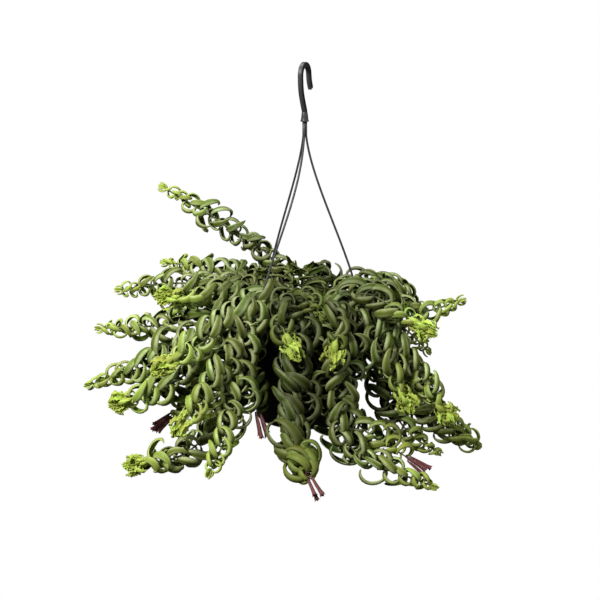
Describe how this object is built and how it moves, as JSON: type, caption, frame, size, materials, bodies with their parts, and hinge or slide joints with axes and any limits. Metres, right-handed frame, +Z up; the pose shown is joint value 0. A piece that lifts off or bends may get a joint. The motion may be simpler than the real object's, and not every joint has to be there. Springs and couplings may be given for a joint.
{
  "type": "potted curly lipstick plant in a hanging pot",
  "caption": "Trailing plant with leaves curled into rings, bright tips and maroon buds, in a black hanging pot with a three-strand hanger and hook.",
  "frame": {"origin": "the seat under the crown of the hanger's hook, where it rests on what it hangs from", "axes": "+Z up; the pot's axis is the Z axis; -Y is the front, where the bud-tipped stem hangs down the pot"},
  "size_m": [0.4854, 0.3785, 0.4851],
  "materials": {
    "pot_plastic": "satin",
    "hanger_plastic": "satin",
    "peat": "matte",
    "leaf_green": "satin",
    "young_leaf": "satin",
    "bud_maroon": "matte"
  },
  "bodies": {
    "root": {"pot": "pot_plastic", "soil": "peat", "hook": "hanger_plastic", "strand_right": "hanger_plastic", "strand_back_left": "hanger_plastic", "strand_front_left": "hanger_plastic", "stem_front_low": "leaf_green", "stem_front_left_tip": "leaf_green", "stem_front_right_tip": "leaf_green", "stem_front_right_long": "leaf_green", "stem_front_right_bud": "leaf_green", "stem_left_reach": "leaf_green", "stem_left_bright": "leaf_green", "stem_left_arch": "leaf_green", "stem_left_front_bright": "leaf_green", "stem_left_bent": "leaf_green", "stem_left_under": "leaf_green", "stem_left_low_bright": "leaf_green", "stem_left_trail": "leaf_green", "stem_left_drop": "leaf_green", "stem_left_bud": "leaf_green", "stem_right_front_bright": "leaf_green", "stem_right_bright": "leaf_green", "stem_right_low": "leaf_green", "stem_right_under": "leaf_green", "stem_right_reach": "leaf_green", "stem_right_forward": "leaf_green", "stem_right_top": "leaf_green", "stem_right_mid": "leaf_green", "stem_right_deep": "leaf_green", "stem_left_raised": "leaf_green", "stem_left_back_high": "leaf_green", "stem_left_back_low": "leaf_green", "stem_top_left": "leaf_green", "stem_top_right": "leaf_green", "stem_top_front": "leaf_green", "stem_top_middle": "leaf_green", "stem_top_back_left": "leaf_green", "stem_top_right_front": "leaf_green", "stem_back_1": "leaf_green", "stem_back_2": "leaf_green", "stem_back_3": "leaf_green", "stem_back_4": "leaf_green", "stem_back_5": "leaf_green", "stem_back_6": "leaf_green", "stem_back_7": "leaf_green", "tuft_front_left_tip": "young_leaf", "tuft_front_right_tip": "young_leaf", "tuft_left_bright": "young_leaf", "tuft_left_front_bright": "young_leaf", "tuft_left_bent": "young_leaf", "tuft_left_low_bright": "young_leaf", "tuft_left_trail": "young_leaf", "tuft_right_front_bright": "young_leaf", "tuft_right_bright": "young_leaf", "tuft_right_forward": "young_leaf", "buds_front_low": "bud_maroon", "buds_front_right_bud": "bud_maroon", "buds_left_under": "bud_maroon", "buds_left_bud": "bud_maroon"}
  },
  "joints": []
}
